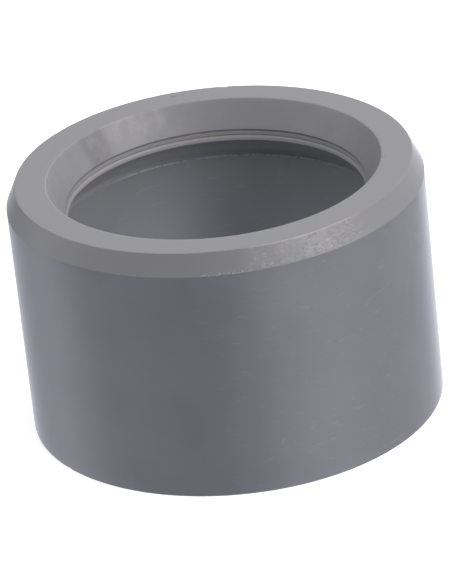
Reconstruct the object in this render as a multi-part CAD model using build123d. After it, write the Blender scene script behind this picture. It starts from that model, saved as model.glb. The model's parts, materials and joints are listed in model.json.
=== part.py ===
from build123d import *
import os

# Reducing bush for solvent-cement pressure pipe, one ring of rigid grey PVC turned about +Z.
# Its outside is a spigot that is glued into the socket of a larger fitting, and its inside is
# a socket that a smaller pipe is glued into. All sizes are in millimetres.
# The origin is the centre of the socket mouth face, and +Z points out of the nose, the
# chamfered end that goes into the larger fitting first.

# ---- the small pipe and the walls around it -----------------------------------------------
pipe_diameter = 40.0  # outside diameter of the small pipe
cement_gap = 0.1  # room all round that pipe for the cement
wall_thickness = 4.9  # from the socket's wall out to the spigot's wall
bush_length = 31.0  # socket mouth to nose

# ---- the nose -----------------------------------------------------------------------------
nose_chamfer_length = 2.5  # how far the chamfer runs along the spigot
nose_chamfer_depth = 1.2  # how far it takes the radius in
face_width = 3.75  # flat ring between the chamfer and the flare
face_bevel = 0.12  # broken edge where the face meets the flare

# ---- the flare that leads the flow from the nose to the lip -----------------------------
flare_depth = 3.3

# ---- the lip, which stops the pipe in the socket and has two fine turned lines ------------
stop_height = 2.15  # how far the lip stands in from the socket's wall
lip_length = 1.7  # along the axis, from the flare's foot to the stop face
upper_line_width = 0.26
upper_line_depth = 0.1
land_length = 0.42  # plain land between the two lines
lower_line_width = 0.12
lower_line_depth = 0.08
bead_rise = 0.08  # how far the rounded bead leans in over its length
bead_crown = 0.05  # how far its face bulges from a straight line
back_bevel_height = 0.32  # bevel under the bead, on the pipe's side
back_bevel_width = 0.65

# ---- the socket ---------------------------------------------------------------------------
relief_length = 2.85  # undercut at the root of the socket, where the tool runs out
relief_depth = 0.4
relief_ramp = 0.3  # sloped end of the undercut
mouth_chamfer = 1.0  # lead-in for the pipe

# ---- radii that follow ----------------------------------------------------------------------
socket_radius = pipe_diameter / 2 + cement_gap
spigot_radius = socket_radius + wall_thickness
nose_radius = spigot_radius - nose_chamfer_depth
flare_mouth_radius = nose_radius - face_width
lip_radius = socket_radius - stop_height
bead_radius = lip_radius - bead_rise
relief_radius = socket_radius + relief_depth
mouth_radius = socket_radius + mouth_chamfer

# ---- heights that follow, from the nose down to the root of the socket --------------------
chamfer_foot = bush_length - nose_chamfer_length
flare_foot = bush_length - flare_depth
land_top = flare_foot - upper_line_width
land_foot = land_top - land_length
bead_top = land_foot - lower_line_width
stop_face = flare_foot - lip_length
bead_foot = stop_face + back_bevel_height
relief_foot = stop_face - relief_length


def outside_line():
    """From the socket mouth, up the spigot and over the nose to the top of the flare."""
    return Polyline(
        (mouth_radius, 0),
        (spigot_radius, 0),
        (spigot_radius, chamfer_foot),
        (nose_radius, bush_length),
        (flare_mouth_radius + face_bevel, bush_length),
        (flare_mouth_radius, bush_length - face_bevel),
        (lip_radius, flare_foot),
    )


def turned_lines():
    """The two fine lines at the foot of the flare, with the plain land between them."""
    return Polyline(
        (lip_radius, flare_foot),
        (lip_radius + upper_line_depth, flare_foot),
        (lip_radius + upper_line_depth, land_top),
        (lip_radius, land_top),
        (lip_radius, land_foot),
        (lip_radius + lower_line_depth, land_foot - lower_line_width / 2),
        (lip_radius, bead_top),
    )


def bead_arc():
    """The rounded bead, which leans in towards the pipe's side of the lip."""
    middle_radius = (lip_radius + bead_radius) / 2 - bead_crown
    middle_height = (bead_top + bead_foot) / 2
    return ThreePointArc(
        (lip_radius, bead_top),
        (middle_radius, middle_height),
        (bead_radius, bead_foot),
    )


def socket_line():
    """Under the bead, across the stop face, and down the socket to its mouth."""
    return Polyline(
        (bead_radius, bead_foot),
        (bead_radius + back_bevel_width, stop_face),
        (relief_radius, stop_face),
        (relief_radius, relief_foot + relief_ramp),
        (socket_radius, relief_foot),
        (socket_radius, mouth_chamfer),
        (mouth_radius, 0),
    )


def reducer_bush():
    """The whole ring, as its outline turned once about the axis."""
    outline = outside_line() + turned_lines() + bead_arc() + socket_line()
    section = Plane.XZ * make_face(outline.edges())
    return revolve(section, Axis.Z, 360)


os.makedirs("parts", exist_ok=True)
export_step(reducer_bush(), "parts/reducer_bush.step")
print(f"spigot {2 * spigot_radius:.1f} mm, socket {2 * socket_radius:.1f} mm, lip {2 * bead_radius:.1f} mm")
print(f"length {bush_length:.1f} mm, socket depth {stop_face:.1f} mm, spigot wall {chamfer_foot:.1f} mm")
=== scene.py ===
# %% [markdown]
# # A grey PVC reducing bush
# This lesson gives a plain fitting its looks. The fitting is one ring of rigid grey PVC, moulded
# and then turned in a lathe. It is glued into a larger fitting by its outside, and a smaller pipe
# is glued into its inside. The sizes were settled in the CAD model, which is loaded first and
# stays where it is. Everything here is in metres, with the socket mouth on the floor at the
# origin and +Z along the axis, up to the chamfered nose.

# %% Load the frame and keep its box
import json
import math

import bmesh
import bpy
from mathutils import Matrix, Vector


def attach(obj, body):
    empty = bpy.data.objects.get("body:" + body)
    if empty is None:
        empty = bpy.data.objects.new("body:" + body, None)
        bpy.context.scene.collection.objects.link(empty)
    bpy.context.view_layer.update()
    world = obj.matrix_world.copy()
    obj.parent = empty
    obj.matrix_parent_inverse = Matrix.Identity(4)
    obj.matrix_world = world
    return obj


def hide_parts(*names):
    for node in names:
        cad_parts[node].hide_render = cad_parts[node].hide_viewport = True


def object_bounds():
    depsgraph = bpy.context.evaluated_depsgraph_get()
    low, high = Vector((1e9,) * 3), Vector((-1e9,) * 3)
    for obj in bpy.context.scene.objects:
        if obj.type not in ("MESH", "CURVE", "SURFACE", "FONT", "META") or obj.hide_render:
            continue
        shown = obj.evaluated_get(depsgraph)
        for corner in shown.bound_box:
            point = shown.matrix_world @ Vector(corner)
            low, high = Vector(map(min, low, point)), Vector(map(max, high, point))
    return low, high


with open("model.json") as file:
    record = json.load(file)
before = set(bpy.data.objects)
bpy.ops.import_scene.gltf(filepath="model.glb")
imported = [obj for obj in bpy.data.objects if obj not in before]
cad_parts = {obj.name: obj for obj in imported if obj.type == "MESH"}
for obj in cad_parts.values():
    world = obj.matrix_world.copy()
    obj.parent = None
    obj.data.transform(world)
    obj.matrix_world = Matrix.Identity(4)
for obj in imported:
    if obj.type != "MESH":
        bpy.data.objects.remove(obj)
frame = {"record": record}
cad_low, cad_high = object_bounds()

print("box in mm", [round(1000 * v, 3) for v in (*cad_low, *cad_high)])

# %% [markdown]
# ## Sizes
# The record that travels with the CAD model states the two surfaces that other parts fit on: the
# spigot outside and the socket inside. Those are read from it, so they can't drift. The rest of
# the section is a handful of named sizes, the same ones that the CAD model was drawn with.

# %% Sizes of the ring
MM = 0.001
mounts = {mount["name"]: mount["dims"] for mount in frame["record"]["mounts"]}
spigot_radius = mounts["spigot"]["r_mm"] * MM
socket_radius = mounts["pipe_socket"]["r_mm"] * MM
chamfer_foot = mounts["spigot"]["length_mm"] * MM
nose_height = cad_high.z

nose_radius = spigot_radius - 1.2 * MM
flare_mouth_radius = nose_radius - 3.75 * MM
flare_foot = nose_height - 3.3 * MM
lip_radius = socket_radius - 2.15 * MM
bead_radius = lip_radius - 0.08 * MM
stop_face = flare_foot - 1.7 * MM
relief_radius = socket_radius + 0.4 * MM
relief_foot = stop_face - 2.85 * MM
mouth_chamfer = 1.0 * MM
print(f"spigot {2000 * spigot_radius:.1f}, socket {2000 * socket_radius:.1f}, "
      f"length {1000 * nose_height:.1f} mm")

# %% Sizes of the lip's two turned lines and its bead
upper_line_width = 0.26 * MM
upper_line_depth = 0.10 * MM
land_length = 0.42 * MM
lower_line_width = 0.12 * MM
lower_line_depth = 0.08 * MM
bead_crown = 0.05 * MM
back_bevel_height = 0.32 * MM
back_bevel_width = 0.65 * MM
land_top = flare_foot - upper_line_width
land_foot = land_top - land_length
bead_top = land_foot - lower_line_width
bead_foot = stop_face + back_bevel_height
print(f"the lip is {1000 * (flare_foot - stop_face):.2f} mm long, "
      f"its bead {1000 * (bead_top - bead_foot):.2f} mm")

# %% [markdown]
# ## The outline
# A turned part is one outline spun about an axis. The real one has no perfectly sharp corner: a
# tool leaves a radius of a few hundredths of a millimetre, and that is what catches the light as a
# thin bright line. So each corner of the outline has its own small radius, and each stretch
# belongs to a zone, because a moulded wall, a faced end and a turned chamfer look different.
# Rounding the corners here, in the outline, is cheaper and cleaner than a Bevel modifier on
# the finished ring.

# %% The corners of the outline, from the mouth face round and back
ZONES = ["mouth_face", "spigot_wall", "nose_chamfer", "end_face", "flare", "lip_line", "lip_land",
         "lip_bead", "socket_root", "socket_wall"]


def corner_table():
    """(radius, height, rounding, zone of the stretch that follows, longest step on it)."""
    bead_middle = (lip_radius + bead_radius) / 2 - 2 * bead_crown
    return [
        (socket_radius + mouth_chamfer, 0, 0.06 * MM, "mouth_face", 0.5 * MM),
        (spigot_radius, 0, 0.10 * MM, "spigot_wall", 1.5 * MM),
        (spigot_radius, chamfer_foot, 0.12 * MM, "nose_chamfer", 0.35 * MM),
        (nose_radius, nose_height, 0.07 * MM, "end_face", 0.4 * MM),
        (flare_mouth_radius, nose_height, 0.13 * MM, "flare", 0.4 * MM),
        (lip_radius, flare_foot, 0.03 * MM, "lip_line", 0.1 * MM),
        (lip_radius + upper_line_depth, flare_foot, 0.03 * MM, "lip_line", 0.1 * MM),
        (lip_radius + upper_line_depth, land_top, 0.03 * MM, "lip_line", 0.1 * MM),
        (lip_radius, land_top, 0.03 * MM, "lip_land", 0.1 * MM),
        (lip_radius, land_foot, 0.02 * MM, "lip_line", 0.1 * MM),
        (lip_radius + lower_line_depth, land_foot - lower_line_width / 2, 0.01 * MM, "lip_line",
         0.1 * MM),
        (lip_radius, bead_top, 0.02 * MM, "lip_bead", 0.1 * MM),
        (bead_middle, (bead_top + bead_foot) / 2, 0.8 * MM, "lip_bead", 0.1 * MM),
        (bead_radius, bead_foot, 0.04 * MM, "socket_root", 0.3 * MM),
        (bead_radius + back_bevel_width, stop_face, 0.04 * MM, "socket_root", 0.6 * MM),
        (relief_radius, stop_face, 0.12 * MM, "socket_root", 0.7 * MM),
        (relief_radius, relief_foot + 0.3 * MM, 0.08 * MM, "socket_root", 0.2 * MM),
        (socket_radius, relief_foot, 0.08 * MM, "socket_wall", 1.5 * MM),
        (socket_radius, mouth_chamfer, 0.08 * MM, "mouth_face", 0.5 * MM),
    ]


print(len(corner_table()), "corners,", len(ZONES), "zones")


# %% Round the corners and divide the stretches
def rounded_corner(before, here, after, rounding):
    """Points of the arc that replaces a corner, at most 15 degrees apart."""
    into, out = (here - before), (after - here)
    turn = into.angle_signed(out)
    room = 0.45 * min(into.length, out.length)
    cut = min(rounding * math.tan(abs(turn) / 2), room)
    radius = cut / math.tan(abs(turn) / 2)
    start = here - into.normalized() * cut
    side = Vector((-into.y, into.x)).normalized() * (-1 if turn > 0 else 1)
    centre = start + side * radius
    count = max(2, math.ceil(math.degrees(abs(turn)) / 15))
    arc = []
    for step in range(count + 1):
        angle = -turn * step / count
        arc.append(centre + Matrix.Rotation(angle, 2) @ (start - centre))
    return arc


def outline_points():
    """The closed outline as (radius, height) points, and the zone of the stretch after each."""
    table = corner_table()
    places = [Vector((row[0], row[1])) for row in table]
    arcs = []
    for index, row in enumerate(table):
        after = places[(index + 1) % len(places)]
        arcs.append(rounded_corner(places[index - 1], places[index], after, row[2]))
    points, zones = [], []
    for index, row in enumerate(table):
        arc = arcs[index]
        ahead = arcs[(index + 1) % len(arcs)][0]
        zone, step = ZONES.index(row[3]), row[4]
        before = ZONES.index(table[index - 1][3])
        points += arc
        zones += [before] * (len(arc) // 2) + [zone] * (len(arc) - len(arc) // 2)
        run = ahead - arc[-1]
        pieces = max(1, math.ceil(run.length / step))
        for piece in range(1, pieces):
            points.append(arc[-1] + run * piece / pieces)
            zones.append(zone)
    return points, zones


points, point_zones = outline_points()
print(len(points), "outline points")

# %% [markdown]
# ## A wire that can be used in sums
# Geometry and material trees are both made of nodes and wires. Adding each Math node by hand hides
# the formula that it stands for. So a small class wraps an output socket and overloads the usual
# operators: `1 - mask * 2` then adds the nodes by itself. One method makes any other node.

# %% The Wire and the Board
OPERATIONS = {"add": "ADD", "sub": "SUBTRACT", "mul": "MULTIPLY", "truediv": "DIVIDE"}


class Wire:
    """An output socket of a node tree, which can be used in sums as if it were a number."""

    def __init__(self, board, socket):
        self.board, self.socket = board, socket

    def math(self, operation, *others):
        return self.board.math(operation, self, *others)

    def __neg__(self):
        return self.math("MULTIPLY", -1.0)

    def clip(self):
        return self.math("MAXIMUM", 0.0).math("MINIMUM", 1.0)

    def step(self, low, high):
        """0 below low, 1 above high, and a smooth ramp between them."""
        settings = {"interpolation_type": "SMOOTHSTEP"}
        inputs = {"Value": self, "From Min": low, "From Max": high}
        return self.board.node("ShaderNodeMapRange", settings, inputs)


def forward(operation):
    return lambda self, other: self.math(operation, other)


def reflected(operation):
    return lambda self, other: self.board.math(operation, other, self)


for name, operation in OPERATIONS.items():
    setattr(Wire, f"__{name}__", forward(operation))
    setattr(Wire, f"__r{name}__", reflected(operation))


class Board:
    """A node tree to build on."""

    def __init__(self, tree):
        self.tree = tree

    def node(self, kind, settings=None, inputs=None, output=0):
        """Any node: its settings first, then a value or a wire for each socket."""
        made = self.tree.nodes.new(kind)
        for name, value in (settings or {}).items():
            setattr(made, name, value)
        for key, value in (inputs or {}).items():
            if isinstance(value, Wire):
                self.tree.links.new(value.socket, made.inputs[key])
            else:
                made.inputs[key].default_value = value
        return Wire(self, made.outputs[output]) if made.outputs else None

    def math(self, operation, *values):
        return self.node("ShaderNodeMath", {"operation": operation}, dict(enumerate(values)))

    def vector(self, operation, first, second, output=0):
        return self.node("ShaderNodeVectorMath", {"operation": operation}, {0: first, 1: second}, output)

    def join(self, x, y, z):
        return self.node("ShaderNodeCombineXYZ", None, {0: x, 1: y, 2: z})

    def split(self, vector):
        first = self.node("ShaderNodeSeparateXYZ", None, {0: vector})
        outputs = first.socket.node.outputs
        return first, Wire(self, outputs[1]), Wire(self, outputs[2])


print("a Wire knows", ", ".join(OPERATIONS))

# %% [markdown]
# ## Spinning the outline
# The ring follows one rule all the way round, so it is a job for Geometry Nodes. The outline goes in as a
# closed loop of edges, and the tree sweeps it round a circle, as a lathe does. Two things
# stop it from looking drawn by a computer. A knife never leaves a clean edge on the lip, so
# the bead's edge gets a low ragged burr. And a few knocks have dented the sharp edges of the
# nose. Both are moved points, with sizes and a seed as inputs, so they can be tuned on the modifier.

# %% The outline as a loop of edges, with what each point carries
def outline_object():
    """Edges in the XZ plane. Each edge knows its zone, and each point how much burr it can have."""
    mesh = bpy.data.meshes.new("outline")
    count = len(points)
    edges = [(index, (index + 1) % count) for index in range(count)]
    mesh.from_pydata([(place.x, 0, place.y) for place in points], edges, [])
    zone = mesh.attributes.new("zone", "INT", "EDGE")
    burr = mesh.attributes.new("burr", "FLOAT", "POINT")
    for index, place in enumerate(points):
        zone.data[index].value = point_zones[index]
        near_bead_foot = abs(place.y - bead_foot) < 0.12 * MM and place.x < lip_radius
        burr.data[index].value = 1.0 if near_bead_foot else 0.0
    made = bpy.data.objects.new("bush_body", mesh)
    bpy.context.scene.collection.objects.link(made)
    return made


bush = outline_object()
print(len(bush.data.edges), "edges in the outline")

# %% [markdown]
# A nick is a place on the ring and a size. They are few and each is different, so they are given as a
# list, and the tree gets one small group of nodes for each.

# %% Where the knocks are
# (degrees round the ring, radius, height, reach, depth)
NICKS = [
    (-8.0, flare_mouth_radius, nose_height, 0.55 * MM, 0.10 * MM),
    (-77.0, nose_radius, nose_height, 0.40 * MM, 0.06 * MM),
    (84.0, nose_radius, nose_height, 0.60 * MM, 0.08 * MM),
    (-100.0, spigot_radius, chamfer_foot, 0.45 * MM, 0.05 * MM),
    (152.0, spigot_radius, chamfer_foot, 0.60 * MM, 0.08 * MM),
    (28.0, spigot_radius, 0.0, 0.60 * MM, 0.10 * MM),
    (-147.0, spigot_radius, 0.0, 0.50 * MM, 0.07 * MM),
]


def on_ring(degrees, radius, height):
    angle = math.radians(degrees)
    return (radius * math.cos(angle), radius * math.sin(angle), height)


print(len(NICKS), "nicks, the deepest", round(1000 * max(nick[4] for nick in NICKS), 2), "mm")


# %% The parts of the tree
def add_input(tree, name, kind, value):
    socket = tree.interface.new_socket(name, in_out="INPUT", socket_type=kind)
    if value is not None:
        socket.default_value = value
    return socket


def swept(board, outline, path_radius, turns):
    """The outline swept round a circle. Curve to Mesh lays a section's X outwards and its Y down."""
    x, _, z = board.split(board.node("GeometryNodeInputPosition"))
    flat = board.join(x - path_radius, -z, 0.0)
    section = board.node("GeometryNodeSetPosition", None, {"Geometry": outline, "Position": flat})
    section = board.node("GeometryNodeMeshToCurve", None, {"Mesh": section})
    circle = board.node("GeometryNodeCurvePrimitiveCircle", None,
                        {"Resolution": turns, "Radius": path_radius})
    return board.node("GeometryNodeCurveToMesh", None, {"Curve": circle, "Profile Curve": section})


def burred(board, ring, height, pitch, seed):
    """Lifts the bead's edge out of its surface by an uneven amount."""
    place = board.node("GeometryNodeInputPosition")
    noise = board.node("ShaderNodeTexNoise", {"noise_dimensions": "4D"},
                       {"Vector": place, "W": seed, "Scale": 1.0 / pitch, "Detail": 3.0, "Roughness": 0.7})
    carried = board.node("GeometryNodeInputNamedAttribute", {"data_type": "FLOAT"}, {"Name": "burr"})
    lift = (noise - 0.42).math("MAXIMUM", 0.0) * carried * height * 4.0
    offset = board.vector("MULTIPLY", board.join(0.35, 0.35, 1.0), board.node("GeometryNodeInputNormal"))
    offset = board.node("ShaderNodeVectorMath", {"operation": "SCALE"}, {0: offset, "Scale": lift})
    return board.node("GeometryNodeSetPosition", None, {"Geometry": ring, "Offset": offset})


def nicked(board, ring, depth_share):
    """Presses each nick in, towards the middle of the wall."""
    for degrees, radius, height, reach, depth in NICKS:
        place = board.node("GeometryNodeInputPosition")
        centre = on_ring(degrees, radius, height)
        gap = board.vector("DISTANCE", place, centre, output=1)
        fall = 1 - gap.step(0.0, reach)
        wall_middle = on_ring(degrees, (spigot_radius + socket_radius) / 2, nose_height / 2)
        inwards = (Vector(wall_middle) - Vector(centre)).normalized()
        push = board.node("ShaderNodeVectorMath", {"operation": "SCALE"},
                          {0: tuple(inwards * depth), "Scale": fall * depth_share})
        ring = board.node("GeometryNodeSetPosition", None, {"Geometry": ring, "Offset": push})
    return ring


def zone_of_face(board, outline):
    """The zone of the nearest stretch of outline, which is the stretch that the face was swept from."""
    x, y, z = board.split(board.node("GeometryNodeInputPosition"))
    radius = (x * x + y * y).math("SQRT")
    nearest = board.node("GeometryNodeSampleNearest", {"domain": "EDGE"},
                         {"Geometry": outline, "Sample Position": board.join(radius, 0.0, z)})
    stored = board.node("GeometryNodeInputNamedAttribute", {"data_type": "INT"}, {"Name": "zone"})
    return board.node("GeometryNodeSampleIndex", {"data_type": "INT", "domain": "EDGE"},
                      {"Geometry": outline, "Value": stored, "Index": nearest})


print("the tree sweeps, burrs, nicks and looks up zones")


# %% The whole tree
def lathe_tree(finishes):
    """The lathe, with one Set Material for each zone at its end."""
    tree = bpy.data.node_groups.new("turned_ring", "GeometryNodeTree")
    tree.interface.new_socket("Geometry", in_out="OUTPUT", socket_type="NodeSocketGeometry")
    add_input(tree, "Outline", "NodeSocketGeometry", None)
    add_input(tree, "Turns", "NodeSocketInt", 256)
    add_input(tree, "Path radius", "NodeSocketFloat", 0.02)
    add_input(tree, "Burr height", "NodeSocketFloat", 0.0)
    add_input(tree, "Burr pitch", "NodeSocketFloat", 0.001)
    add_input(tree, "Seed", "NodeSocketFloat", 0.0)
    add_input(tree, "Nick depth", "NodeSocketFloat", 1.0)
    board = Board(tree)
    outline, turns, path_radius, height, pitch, seed, nick = [
        Wire(board, socket) for socket in tree.nodes.new("NodeGroupInput").outputs[:7]]
    ring = swept(board, outline, path_radius, turns)
    ring = board.node("GeometryNodeFlipFaces", None, {"Mesh": ring})
    ring = burred(board, ring, height, pitch, seed)
    ring = nicked(board, ring, nick)
    ring = board.node("GeometryNodeSetShadeSmooth", None, {"Geometry": ring})
    ring = board.node("GeometryNodeRealizeInstances", None, {"Geometry": ring})
    zone = zone_of_face(board, outline)
    for number, name in enumerate(ZONES):
        chosen = board.node("FunctionNodeCompare", {"data_type": "INT", "operation": "EQUAL"},
                            {"A": zone, "B": number})
        ring = board.node("GeometryNodeSetMaterial", None,
                          {"Geometry": ring, "Selection": chosen, "Material": finishes[name]})
    tree.links.new(ring.socket, tree.nodes.new("NodeGroupOutput").inputs[0])
    return tree


def turn_ring(piece, tree, sizes):
    """Runs the tree on the outline and keeps its result as a plain mesh."""
    modifier = piece.modifiers.new("turned_ring", "NODES")
    modifier.node_group = tree
    for item in tree.interface.items_tree:
        if item.in_out == "INPUT" and item.name in sizes:
            modifier[item.identifier] = sizes[item.name]
    seen = piece.evaluated_get(bpy.context.evaluated_depsgraph_get())
    mesh = bpy.data.meshes.new_from_object(seen)
    piece.modifiers.remove(modifier)
    piece.data = mesh
    return mesh


print("zones to finish:", ", ".join(ZONES))

# %% [markdown]
# ## Coordinates for finishes on a turned part
# Marks on a turned part follow the lathe: they run round it, or up and down its wall. So each finish
# is written in four numbers: millimetres in X, Y and Z, and the radius. A mark at one side of the ring
# is found by the cosine of its angle, which has no seam, unlike the angle itself. The class
# below is a Board that starts with those numbers and knows the few patterns that PVC shows.

# %% Heights and radii that the finishes start from, in millimetres
NOSE = nose_height / MM
NOSE_EDGE = nose_radius / MM
CHAMFER_FOOT = chamfer_foot / MM
FLARE_FOOT = flare_foot / MM
LIP = lip_radius / MM
LEDGE = relief_foot / MM
print(f"nose at {NOSE:.2f}, chamfer from {CHAMFER_FOOT:.2f}")
print(f"flare from {FLARE_FOOT:.2f}, ledge at {LEDGE:.2f}")


# %% The board of a finish
class Finish(Board):
    """A material for this ring, with its coordinates in millimetres."""

    def __init__(self, name):
        self.material = bpy.data.materials.new(name)
        self.material.use_nodes = True
        self.material.node_tree.nodes.clear()
        super().__init__(self.material.node_tree)
        place = self.node("ShaderNodeTexCoord", output="Object")
        self.place = self.vector("MULTIPLY", place, (1000, 1000, 1000))
        self.x, self.y, self.z = self.split(self.place)
        self.radius = (self.x * self.x + self.y * self.y).math("SQRT")

    def side(self, degrees, reach, soft):
        """1 within reach degrees of a direction round the ring, fading out over soft degrees."""
        angle = math.radians(degrees)
        cosine = (self.x * math.cos(angle) + self.y * math.sin(angle)) / self.radius
        return cosine.step(math.cos(math.radians(reach + soft)), math.cos(math.radians(reach)))

    def noise(self, across, up, detail=2.0, roughness=0.5, shift=0.0):
        """Noise with grains of a given length round the ring and up it, in millimetres."""
        grain = self.vector("MULTIPLY", self.place, (1 / across, 1 / across, 1 / up))
        grain = self.vector("ADD", grain, (shift, 2 * shift, 3 * shift))
        inputs = {"Vector": grain, "Scale": 1.0, "Detail": detail, "Roughness": roughness}
        return self.node("ShaderNodeTexNoise", None, inputs)

    def rings(self, pitch):
        """Tool marks on a faced end: noise that changes with the radius only."""
        grain = self.join(self.radius / pitch, 0.0, 0.0)
        return self.node("ShaderNodeTexNoise", None, {"Vector": grain, "Scale": 1.0, "Detail": 2.0})

    def specks(self, spacing, size, share, shift=0.0):
        """Small round dots: one random place per cell, and only a share of the cells has one."""
        place = self.vector("ADD", self.place, (shift, shift, 2 * shift))
        inputs = {"Vector": place, "Scale": 1 / spacing}
        gap = self.node("ShaderNodeTexVoronoi", None, inputs, "Distance")
        colour = self.node("ShaderNodeTexVoronoi", None, inputs, "Color")
        lot, weight, _ = self.split(colour)
        reach = size / spacing * (0.4 + 0.6 * weight)
        return (1 - gap.math("DIVIDE", reach)).step(0.0, 0.6) * lot.math("LESS_THAN", share)

    def scratches(self, length, gap, width, amount, shift=0.0):
        """Thin lines along the contours of stretched noise, broken into short pieces."""
        lines = self.noise(length, gap, 0.0, 0.5, shift)
        thin = 1 - (lines - 0.5).math("ABSOLUTE").step(0.1 * width / gap, 0.6 * width / gap)
        pieces = self.noise(length / 4, gap / 2, 1.0, 0.5, shift + 7)
        return thin * pieces.step(1 - amount, 1.15 - amount)

    def dot(self, degrees, radius, height, size):
        """One mark at one place on the ring."""
        centre = tuple(1000 * v for v in on_ring(degrees, radius * MM, height * MM))
        gap = self.vector("DISTANCE", self.place, centre, output="Value")
        return 1 - gap.step(size * 0.4, size)

    def blend(self, mask, first, second):
        """A colour mixed towards a second one."""
        inputs = {0: mask, 6: with_alpha(first), 7: with_alpha(second)}
        return self.node("ShaderNodeMix", {"data_type": "RGBA"}, inputs, 2)

    def surface(self, colour, roughness, height, relief):
        """Ends the board: the shader, with a height in 0 to 1 that stands for relief in millimetres."""
        bump = self.node("ShaderNodeBump", None,
                         {"Height": height, "Strength": 1.0, "Distance": relief * MM})
        shader = self.node("ShaderNodeBsdfPrincipled", None,
                           {"Base Color": colour, "Roughness": roughness, "Normal": bump, "IOR": 1.5})
        self.node("ShaderNodeOutputMaterial", None, {"Surface": shader})
        return self.material


def with_alpha(colour):
    return colour if isinstance(colour, Wire) else (*colour, 1.0)


print("a finish knows", [name for name in vars(Finish) if not name.startswith("_")])

# %% [markdown]
# ## Colours of the plastic
# Rigid grey PVC is a mid grey with a trace of violet. Where a tool has cut it, the surface is a
# little lighter than the skin that the mould left, most of all on the lip, where the cut is the
# freshest and warmest, and where it is scraped it goes pale. Some of the pale is painted highlight,
# and the dark in the two turned lines is painted shade. Glue or grease has left a straw-coloured
# stain along part of one edge.

# %% The colours, as linear values
MOULDED = (0.135, 0.132, 0.147)
TURNED = (0.180, 0.180, 0.186)
FACED = (0.188, 0.187, 0.194)
CUT = (0.255, 0.248, 0.244)
# PALE is also painted highlight on the chamfer and the flare, and a painted rim light on the wall's bottom
# edge.
PALE = (0.30, 0.29, 0.30)
# SHADE is painted shade in the turned lines and the pits; it also darkens a smudge on the end face and a
# dull patch on the flare.
SHADE = (0.085, 0.087, 0.086)
STRAW = (0.222, 0.204, 0.138)
print("moulded", MOULDED, "turned", TURNED)


# %% [markdown]
# ## The moulded wall
# The outside is the skin of a polished mould, so it is the glossiest face of the part, and it isn't
# quite flat: shrinkage leaves slow waves that bend its reflections. It has slid about in a
# box with others, which leaves fine scratches mostly round the ring, more on one side, and
# pale specks. Under the chamfer is one duller patch, where something has rubbed.

# %% The wall's finish
def moulded_wall():
    wall = Finish("pvc_moulded_wall")
    mottle = wall.noise(7.0, 9.0, 3.0, 0.55, 3.0)
    worn_side = 0.2 + 0.8 * wall.side(-48, 34, 26)
    lines = wall.scratches(8.0, 1.3, 0.08, 0.47, 1.0) + wall.scratches(4.5, 0.9, 0.06, 0.45, 12.0)
    lines = lines.clip() * worn_side
    specks = wall.specks(2.3, 0.15, 0.09) * (0.35 + 0.65 * worn_side)
    specks = (specks + wall.specks(3.7, 0.20, 0.07, 5.0)).clip()
    patchy = wall.noise(2.0, 2.4, 3.0, 0.6, 9.0).step(0.3, 0.6)
    rubbed = wall.side(-31, 6, 8) * wall.z.step(CHAMFER_FOOT - 9, CHAMFER_FOOT - 5) * patchy
    # A pale, patchy band along the bottom edge: chips, and partly a painted rim light.
    edge = 1 - wall.z.step(0.05, 0.30)
    chips_and_painted_rim_light = edge * wall.noise(1.4, 1.4, 2.0, 0.6, 4.0).step(0.42, 0.6)
    colour = wall.blend(mottle.step(0.30, 0.70) * 0.22, MOULDED, FACED)
    pale = (lines * 0.13 + specks * 0.55 + chips_and_painted_rim_light * 0.25 + rubbed * 0.07).clip()
    colour = wall.blend(pale, colour, PALE)
    roughness = 0.28 + mottle * 0.05 + lines * 0.1 + rubbed * 0.16 + chips_and_painted_rim_light * 0.2
    height = wall.noise(5.0, 11.0, 1.0, 0.4, 6.0) + wall.noise(0.5, 0.5, 2.0) * 0.011
    return wall.surface(colour, roughness, height, 0.03)


print("made", moulded_wall.__name__)


# %% [markdown]
# ## The chamfer
# The chamfer guides the bush into the larger fitting. It was turned with a sharp tool, so it is
# smooth, but it is also what meets every other part in the box first. One stretch, where the key
# light is mirrored, is scraped and pitted: its pits are painted dark, which is painted shade, and its
# pale flecks and a pale band along its top edge are painted highlights. A thread of swarf still hangs
# on at its foot.

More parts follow.
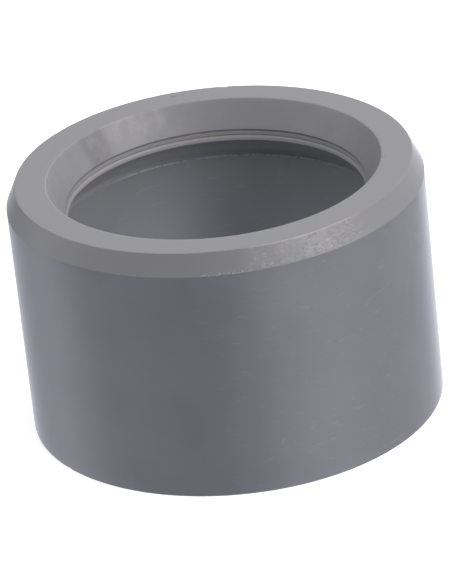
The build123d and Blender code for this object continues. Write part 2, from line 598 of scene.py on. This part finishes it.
# %% The chamfer's finish
def turned_chamfer():
    chamfer = Finish("pvc_turned_chamfer")
    # The scraped stretch lies where the key light is mirrored, and its pale share is painted highlight.
    scraped_and_painted_highlight = chamfer.side(-66, 14, 6) * chamfer.noise(1.6, 1.2, 2.0, 0.6, 4.0).step(0.25, 0.5)
    rough_side = chamfer.side(-28, 22, 14)
    grain = chamfer.noise(0.9, 0.22, 4.0, 0.7, 2.0)
    pits_with_painted_shade = chamfer.noise(0.55, 0.3, 4.0, 0.75, 5.0).step(0.54, 0.63)
    # Pale flecks on the scraped stretch are painted glints.
    painted_glints = chamfer.noise(0.8, 0.28, 4.0, 0.8, 11.0).step(0.52, 0.62) * scraped_and_painted_highlight
    specks = chamfer.specks(0.8, 0.12, 0.22) * (0.12 + scraped_and_painted_highlight)
    foot = 1 - (chamfer.z - CHAMFER_FOOT - 0.05).math("ABSOLUTE").step(0.10, 0.35)
    swarf = foot * chamfer.side(-90, 5, 3) * chamfer.noise(0.28, 0.22, 2.0, 0.7, 8.0).step(0.50, 0.62)
    # A pale band along the top edge on the key light's side is a painted highlight.
    painted_crest_highlight = chamfer.z.step(NOSE - 0.18, NOSE - 0.07) * chamfer.side(-66, 12, 8)
    edge = chamfer.z.step(NOSE - 0.45, NOSE - 0.05) * chamfer.side(-28, 26, 8)
    drip = (1 - chamfer.z.step(CHAMFER_FOOT, CHAMFER_FOOT + 0.6)) * chamfer.side(-31, 15, 9)
    stain = (edge * 0.8 + drip * 0.6) * chamfer.noise(1.1, 0.8, 3.0, 0.6).step(0.45, 0.62)
    colour = chamfer.blend(grain.step(0.35, 0.7) * 0.10, TURNED, MOULDED)
    # The pits are painted towards SHADE: painted shade.
    colour = chamfer.blend(pits_with_painted_shade * scraped_and_painted_highlight * 0.42, colour, SHADE)
    pale = painted_glints * 0.50 + specks * 0.5 + swarf * 0.85 + painted_crest_highlight * 0.65 + scraped_and_painted_highlight * 0.12
    colour = chamfer.blend(pale.clip(), colour, PALE)
    colour = chamfer.blend(stain * 0.45, colour, STRAW)
    roughness = 0.28 + grain * 0.07 + rough_side * 0.15 + pits_with_painted_shade * scraped_and_painted_highlight * 0.16
    height = grain * (0.12 + 0.5 * scraped_and_painted_highlight) - pits_with_painted_shade * scraped_and_painted_highlight * 0.7 + swarf
    return chamfer.surface(colour, roughness, height, 0.014)


print("made", turned_chamfer.__name__)


# %% [markdown]
# ## The two faced ends
# The end was faced off flat, which leaves it matte, with tool rings so fine that they show only as a
# soft grain. A stain follows part of its outer edge. The mouth face at the other end
# is finished the same way, with coarser rings, because nobody looks at it.

# %% The ends' finish
def faced_end(name, pitch, stained):
    end = Finish(name)
    rings = end.rings(pitch)
    grain = end.noise(0.3, 0.3, 3.0, 0.65, 1.0)
    cloud = end.noise(5.0, 5.0, 3.0, 0.6, 6.0)
    specks = end.specks(1.7, 0.13, 0.10, 2.0)
    colour = end.blend(0.5 * cloud.step(0.35, 0.65) * grain, FACED, TURNED)
    colour = end.blend(specks * 0.3, colour, PALE)
    if stained:
        outer = end.radius.step(NOSE_EDGE - 0.45, NOSE_EDGE - 0.1) * end.side(-28, 27, 9)
        rim = end.radius.step(NOSE_EDGE - 1.6, NOSE_EDGE - 1.2)
        spots = end.specks(1.5, 0.5, 0.30, 9.0) * rim * end.side(-36, 14, 5)
        patchy = end.noise(1.6, 1.6, 3.0, 0.6, 3.0).step(0.36, 0.58)
        colour = end.blend((outer * patchy * 0.50 + spots * 0.22).clip(), colour, STRAW)
        smudge = end.dot(100, NOSE_EDGE - 1.2, NOSE, 0.40) + end.dot(97, NOSE_EDGE - 1.4, NOSE, 0.3)
        colour = end.blend(smudge.clip() * 0.35, colour, SHADE)
    roughness = 0.48 + grain * 0.10 - cloud * 0.04
    return end.surface(colour, roughness, rings * 0.5 + grain * 0.7, 0.004)


print("made", faced_end.__name__)


# %% [markdown]
# ## The flare
# The flare is turned too, but dragged swarf has smeared part of it into upright streaks, smoother than
# the rest, that catch the light. On this side, where the key light is mirrored, they are also painted
# pale, which is a painted highlight. A small pit, painted dark as painted shade, and a hairline
# scratch are on the same side. A pale band along the top edge, strongest on the left, is a painted
# highlight too.

# %% The flare's finish
def turned_flare():
    flare = Finish("pvc_turned_flare")
    grain = flare.noise(0.6, 0.5, 3.0, 0.6, 2.0)
    # On this side, where the key light is mirrored, the streaks' pale colour is a painted highlight.
    painted_highlight_side = flare.side(117, 9, 8) * flare.z.step(FLARE_FOOT + 0.3, FLARE_FOOT + 1.9)
    streaks_and_painted_highlight = flare.noise(1.3, 4.5, 3.0, 0.6, 5.0).step(0.40, 0.66) * painted_highlight_side
    dull = flare.side(137, 3, 5) * flare.noise(1.8, 2.6, 2.0, 0.6, 1.0).step(0.25, 0.5)
    marks = flare.noise(2.2, 1.6, 3.0, 0.6, 8.0).step(0.48, 0.68)
    # The pit is a dent in the bump, and its dark colour is painted shade.
    pit_with_painted_shade = flare.dot(138.6, LIP + 0.37, FLARE_FOOT + 0.58, 0.2)
    pit_with_painted_shade = (pit_with_painted_shade + flare.dot(139.8, LIP + 0.35, FLARE_FOOT + 0.55, 0.16)).clip()
    lower_half = flare.z.step(FLARE_FOOT + 0.3, FLARE_FOOT + 0.6)
    lower_half = lower_half * (1 - flare.z.step(FLARE_FOOT + 1.3, FLARE_FOOT + 1.9))
    hairline = flare.side(162, 0.1, 0.25) * lower_half
    # A pale band along the top edge, strongest on the left side, is a painted highlight.
    rim = flare.z.step(NOSE - 0.2, NOSE - 0.08) * (0.35 + 0.65 * flare.side(175, 45, 25))
    colour = flare.blend((marks * 0.16 + dull * 0.5).clip(), TURNED, MOULDED)
    colour = flare.blend((streaks_and_painted_highlight * 0.22 + hairline * 0.25 + rim * 0.25).clip(), colour, PALE)
    colour = flare.blend((pit_with_painted_shade * 0.6 + dull * 0.12).clip(), colour, SHADE)
    roughness = 0.38 + grain * 0.08 - streaks_and_painted_highlight * 0.08 + marks * 0.05 + dull * 0.08
    height = grain * 0.5 + streaks_and_painted_highlight * 0.5 - pit_with_painted_shade
    return flare.surface(colour, roughness, height, 0.005)


print("made", turned_flare.__name__)


# %% [markdown]
# ## The lip
# The lip is what stops the pipe. Two fine lines are turned in its face, dark with shade, and their
# colour is darkened in noisy patches as well, which is painted shade. The narrow land between them
# is plain, and the bead below them is ragged and paler, because the tool tore it a little instead
# of cutting.

# %% The lip's finishes
def dark_line():
    line = Finish("pvc_turned_line")
    painted_shade_noise = line.noise(0.8, 0.3, 3.0, 0.6, 2.0)
    # The line's colour goes towards SHADE in noisy patches: painted shade in the groove.
    colour = line.blend(painted_shade_noise.step(0.35, 0.7) * 0.25, TURNED, SHADE)
    return line.surface(colour, 0.5 + painted_shade_noise * 0.12, painted_shade_noise, 0.004)


def lip_land():
    land = Finish("pvc_lip_land")
    grain = land.noise(1.2, 0.1, 2.0, 0.6, 4.0)
    colour = land.blend(grain.step(0.3, 0.8) * 0.4, CUT, TURNED)
    return land.surface(colour, 0.36 + grain * 0.10, grain, 0.004)


def ragged_bead():
    bead = Finish("pvc_ragged_bead")
    torn = bead.noise(0.45, 0.16, 4.0, 0.7, 7.0)
    specks = bead.specks(0.7, 0.13, 0.25, 3.0)
    colour = bead.blend(0.1 + torn.step(0.45, 0.7) * 0.5, CUT, PALE)
    colour = bead.blend(specks * 0.6, colour, PALE)
    return bead.surface(colour, 0.42 + torn * 0.12, torn, 0.012)


print("made", dark_line.__name__, lip_land.__name__, ragged_bead.__name__)


# %% [markdown]
# ## The socket
# The socket's wall is moulded on a polished core, so it is smooth, with a few specks of
# dust and drag marks from the core that run along the axis. At its root a ledge is undercut where
# the tool ran out. The ledge's ramp faces up, and its light is painted on as a paler colour, which
# is painted light; along its edge on the far side a pale line is partly swarf and partly painted light.

# %% The socket's finishes
SOCKET = (0.168, 0.170, 0.176)
# The ramp's colour is painted light; the swarf colour is partly swarf and partly painted light.
PAINTED_RAMP_LIGHT = (0.255, 0.250, 0.285)
SWARF_AND_PAINTED_LIGHT = (0.360, 0.350, 0.400)


def socket_wall():
    wall = Finish("pvc_socket_wall")
    drag = wall.noise(0.7, 14.0, 2.0, 0.5, 3.0)
    cloud = wall.noise(6.0, 7.0, 3.0, 0.6, 8.0)
    specks = (wall.specks(2.2, 0.17, 0.12) + wall.specks(1.3, 0.10, 0.05, 4.0)).clip()
    lines = wall.scratches(7.0, 1.4, 0.12, 0.46, 5.0)
    colour = wall.blend(cloud.step(0.3, 0.7) * 0.2, SOCKET, MOULDED)
    colour = wall.blend((specks * 0.5 + lines * 0.15).clip(), colour, PALE)
    roughness = 0.28 + cloud * 0.06 + lines * 0.1
    return wall.surface(colour, roughness, drag * 0.12 + cloud * 0.6, 0.01)


def socket_root():
    root = Finish("pvc_socket_root")
    swarf = root.noise(0.5, 0.35, 4.0, 0.7, 2.0)
    back = root.side(80, 34, 18)
    # The ramp faces up, and its paler colour is painted light.
    ramp_painted_light = root.z.step(LEDGE - 0.03, LEDGE + 0.05) * (1 - root.z.step(LEDGE + 0.25, LEDGE + 0.55))
    edge = 1 - (root.z - LEDGE - 0.05).math("ABSOLUTE").step(0.05, 0.13)
    # A pale line along the ledge's edge on the far side: partly swarf, partly painted light.
    swarf_threads_and_painted_light = edge * back * swarf.step(0.40, 0.55)
    colour = root.blend(ramp_painted_light * 0.7, SOCKET, PAINTED_RAMP_LIGHT)
    colour = root.blend(swarf_threads_and_painted_light, colour, SWARF_AND_PAINTED_LIGHT)
    return root.surface(colour, 0.34 + swarf * 0.1, swarf, 0.003)


print("made", socket_wall.__name__, socket_root.__name__)

# %% [markdown]
# ## Turn the ring
# Now the tree runs once. The result is kept as a plain mesh, and the modifier goes. The bead's burr is
# a few hundredths of a millimetre high, which is enough to catch the light unevenly.

# %% One ring with ten finishes
line_finish = dark_line()
finishes = {
    "mouth_face": faced_end("pvc_mouth_face", 0.35, False),
    "spigot_wall": moulded_wall(),
    "nose_chamfer": turned_chamfer(),
    "end_face": faced_end("pvc_end_face", 0.12, True),
    "flare": turned_flare(),
    "lip_line": line_finish,
    "lip_land": lip_land(),
    "lip_bead": ragged_bead(),
    "socket_root": socket_root(),
    "socket_wall": socket_wall(),
}
ring_mesh = turn_ring(bush, lathe_tree(finishes), {
    "Turns": 480,
    "Path radius": (socket_radius + spigot_radius) / 2,
    "Burr height": 0.04 * MM,
    "Burr pitch": 0.45 * MM,
    "Seed": 3.0,
    "Nick depth": 1.0,
})
triangles = sum(len(face.vertices) - 2 for face in ring_mesh.polygons)
print(f"{triangles} triangles, {len(ring_mesh.materials)} finishes")

# %% [markdown]
# A swept surface can come out with its faces pointing inwards, and it then looks right but exports
# wrong. The signed volume tells: it is positive only if the faces point outwards.

# %% Check that it is closed and faces outwards
shell = bmesh.new()
shell.from_mesh(ring_mesh)
volume = shell.calc_volume(signed=True) * 1e9
loose = sum(1 for edge in shell.edges if not edge.is_manifold)
shell.free()
print(f"volume {volume:.0f} mm3, {loose} open edges")

# %% Put it on the frame
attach(bush, "root")
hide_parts("reducer_bush")
print("the ring takes the CAD node's place")

# %% [markdown]
# ## A studio on the sky
# A small glossy part shows the room around it, so its light is drawn as a whole room: soft lights on
# the sky, each given by its height above the floor and its direction round the part. Their
# directions, and most of their strengths to about a tenth, come from a fit of the part's colours.
# The key light is on the right of the front, 30 degrees up. The ceiling is bright, the back wall
# is pale, and the side behind the camera is dark, which gives the wall its shape. The table top
# has a glow of its own, which is what the wall mirrors.

# %% The lights, by what they stand for
# name: (height, direction, strength)
ROOM = {
    "ceiling": (90, 0, 1.0),
    "ceiling over the front": (60, -60, 0.8),
    "ceiling over the back": (60, 120, 0.8),
    "high lamp on the right": (60, 0, 2.4),
    "high lamp on the left": (60, 180, 2.1),
    "key light": (30, -30, 4.6),
    "front fill": (30, -60, 0.6),
    "right wall": (30, 30, 1.4),
    "right wall, further back": (30, 60, 0.5),
    "left wall": (30, 180, 1.0),
    "left wall, further back": (30, 150, 0.6),
}
HORIZON = {
    "pale back wall": (0, 75, 2.9),
    "right wall, low down": (0, 15, 0.5),
    "left wall, low down": (0, 165, 0.9),
    "lamp at the front left": (0, -135, 0.9),
}
TABLE = {
    "table under the part": (-90, 0, 0.85),
    "table by the back wall": (-30, 90, 1.2),
    "table on the left": (-30, 165, 0.8),
    "table on the near left": (-30, -150, 0.2),
    "table by the key light": (-30, -30, 1.0),
    "table by the front fill": (-30, -60, 1.1),
}
for turn in range(-60, 211, 30):
    TABLE[f"far table at {turn}"] = (-30, turn, 0.35)
for turn in range(0, 360, 60):
    TABLE[f"near table at {turn}"] = (-60, turn, 0.85)
STUDIO = [((1.02, 1.0, 1.03), ROOM), ((0.98, 1.0, 1.1), HORIZON), ((0.95, 0.99, 1.09), TABLE)]
SHARPNESS = 14.5


def light_from(board, direction, height, turn):
    """A soft round light, about 30 degrees across, that fades out evenly."""
    up, round_ = math.radians(height), math.radians(turn)
    aim = (math.cos(up) * math.cos(round_), math.cos(up) * math.sin(round_), math.sin(up))
    cosine = board.vector("DOT_PRODUCT", direction, aim, output="Value")
    return ((cosine - 1) * SHARPNESS).math("EXPONENT")


def studio_world():
    world = bpy.data.worlds.new("studio")
    world.use_nodes = True
    world.node_tree.nodes.clear()
    board = Board(world.node_tree)
    direction = board.node("ShaderNodeTexCoord", output="Generated")
    direction = board.node("ShaderNodeVectorMath", {"operation": "NORMALIZE"}, {0: direction})
    light = (0.0, 0.0, 0.0)
    for tint, lights in STUDIO:
        strength = 0.0
        for height, turn, value in lights.values():
            strength = light_from(board, direction, height, turn) * value + strength
        part = board.node("ShaderNodeVectorMath", {"operation": "SCALE"}, {0: tint, "Scale": strength})
        light = board.vector("ADD", light, part)
    seen = board.node("ShaderNodeLightPath", output="Is Camera Ray")
    light = board.node("ShaderNodeMix", {"data_type": "RGBA"}, {0: seen, 6: light, 7: (1, 1, 1, 1)}, 2)
    background = board.node("ShaderNodeBackground", None, {"Color": light})
    board.node("ShaderNodeOutputWorld", None, {"Surface": background})
    bpy.context.scene.world = world


studio_world()
print(sum(len(lights) for _, lights in STUDIO), "lights in the studio")

# %% [markdown]
# ## The floor
# The floor is a plain white sheet with a glow of its own, like a light table, so it comes out white
# with only a breath of shadow. What it throws back is already in the studio's lower rows, so it
# is hidden from the reflected rays, and light from below passes it.

# %% A white sheet
def white_sheet(half_side, drop, glow):
    """The sheet lies a hair below the part, so that the two faces don't coincide."""
    mesh = bpy.data.meshes.new("floor")
    low = -drop
    corners = [(-half_side, -half_side, low), (half_side, -half_side, low),
               (half_side, half_side, low), (-half_side, half_side, low)]
    mesh.from_pydata(corners, [], [(0, 1, 2, 3)])
    floor = bpy.data.objects.new("floor", mesh)
    bpy.context.scene.collection.objects.link(floor)
    material = bpy.data.materials.new("white_sheet")
    material.use_nodes = True
    shader = material.node_tree.nodes["Principled BSDF"]
    shader.inputs["Base Color"].default_value = (0.8, 0.8, 0.8, 1.0)
    shader.inputs["Roughness"].default_value = 0.9
    shader.inputs["Specular IOR Level"].default_value = 0.0
    shader.inputs["Emission Color"].default_value = (1.0, 1.0, 1.0, 1.0)
    shader.inputs["Emission Strength"].default_value = glow
    mesh.materials.append(material)
    floor.visible_diffuse = False
    floor.visible_glossy = False
    floor.visible_shadow = False
    return floor


floor = white_sheet(3.0, 0.02 * MM, 0.45)
print("floor", floor.dimensions.x, "m wide")

# %% [markdown]
# ## The camera
# A long lens from half a metre away, a little above, keeps the ring's two ellipses nearly alike, as
# in a catalogue. The camera is rolled a few degrees, so the part seems to lean, and it looks
# slightly past the middle. Its distance, angles and lens come from a fit of the outline, rounded.

# %% The camera
def set_camera(distance, elevation, tilt, pan, roll, lens):
    data = bpy.data.cameras.new("camera")
    data.lens, data.sensor_width = lens, 36.0
    data.clip_start, data.clip_end = 0.01, 20.0
    camera = bpy.data.objects.new("camera", data)
    bpy.context.scene.collection.objects.link(camera)
    place = Matrix.Translation((0, -distance * math.cos(elevation), distance * math.sin(elevation)))
    turn = Matrix.Rotation(math.pi / 2 - elevation - tilt, 4, "X")
    turn = turn @ Matrix.Rotation(pan, 4, "Y") @ Matrix.Rotation(roll, 4, "Z")
    camera.matrix_world = place @ turn
    bpy.context.scene.camera = camera
    return camera


camera = set_camera(21.4 * spigot_radius, math.radians(27.1), math.radians(-1.38),
                    math.radians(0.01), math.radians(-6.3), 270.5)
bpy.context.scene.view_settings.view_transform = "Standard"
print("camera at", [round(v, 3) for v in camera.matrix_world.translation])
